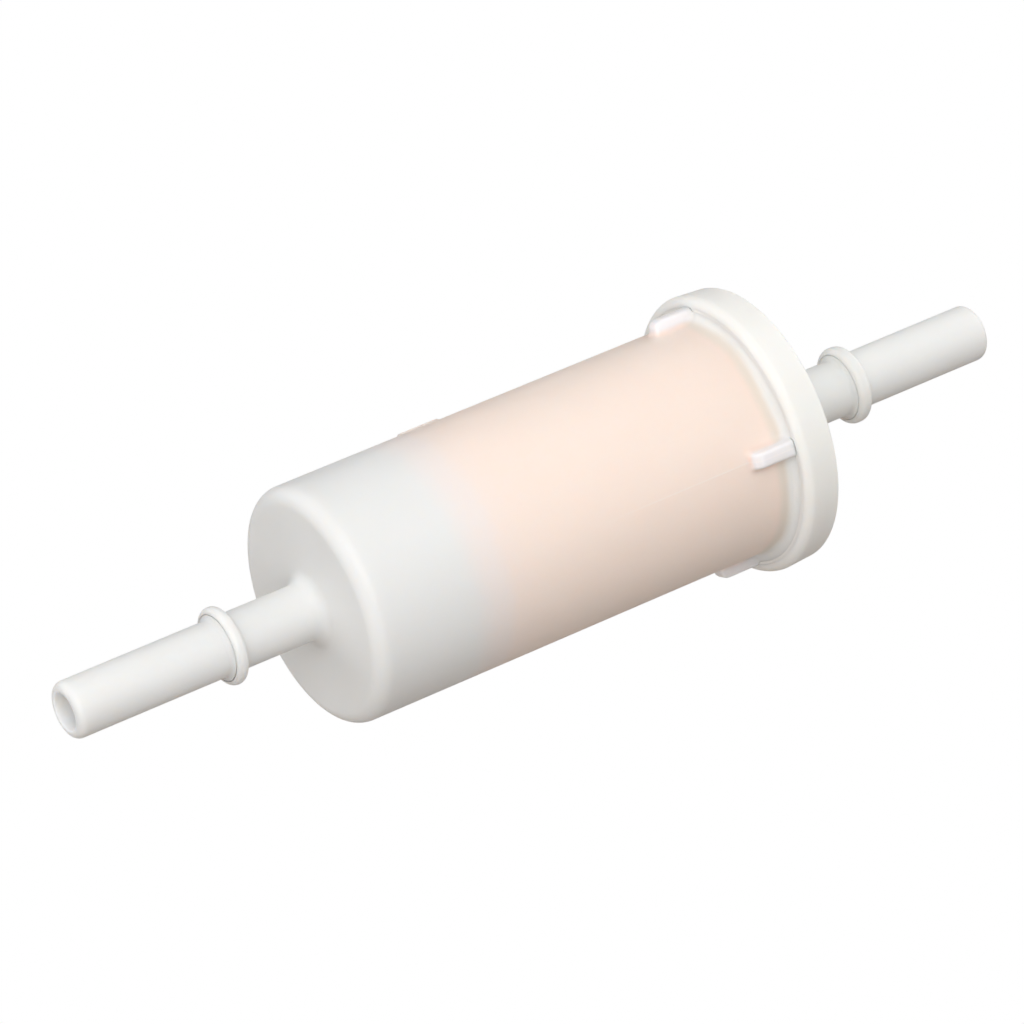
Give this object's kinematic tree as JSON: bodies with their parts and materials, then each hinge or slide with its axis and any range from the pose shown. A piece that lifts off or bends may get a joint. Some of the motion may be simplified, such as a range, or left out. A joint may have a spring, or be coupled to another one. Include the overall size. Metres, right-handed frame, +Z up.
{
  "type": "in-line fuel filter",
  "caption": "In-line fuel filter: translucent nylon barrel with a welded lid, a beaded hose end on each side, and a pleated paper element inside.",
  "frame": {"origin": "on the filter's axis, half way between the tips of the two tubes", "axes": "+X along the flow, from the inlet tip to the outlet tip; +Z up; the flow arrow lies on the upper +Y side of the barrel"},
  "size_m": [0.1408, 0.038, 0.038],
  "materials": {
    "barrel_nylon": "translucent natural nylon, semi-gloss",
    "lid_nylon": "natural nylon, semi-gloss, slightly warm",
    "weld_nylon": "remelted nylon, glossy",
    "disc_plastic": "white moulded plastic",
    "filter_paper": "resin-treated peach paper, matte",
    "adhesive": "set potting adhesive",
    "clip_plastic": "moulded strip",
    "seal_rubber": "fluorocarbon rubber, matte"
  },
  "bodies": {
    "root": {"housing": "barrel_nylon", "end_cap": "lid_nylon", "weld_bead": "weld_nylon", "closed_end_disc": "disc_plastic", "inlet_potting": "adhesive", "pleated_media": "filter_paper", "media_seam_clip": "clip_plastic", "support_tube": "disc_plastic", "outlet_potting": "adhesive", "open_end_disc": "disc_plastic", "outlet_seal_ring": "seal_rubber"}
  },
  "joints": []
}
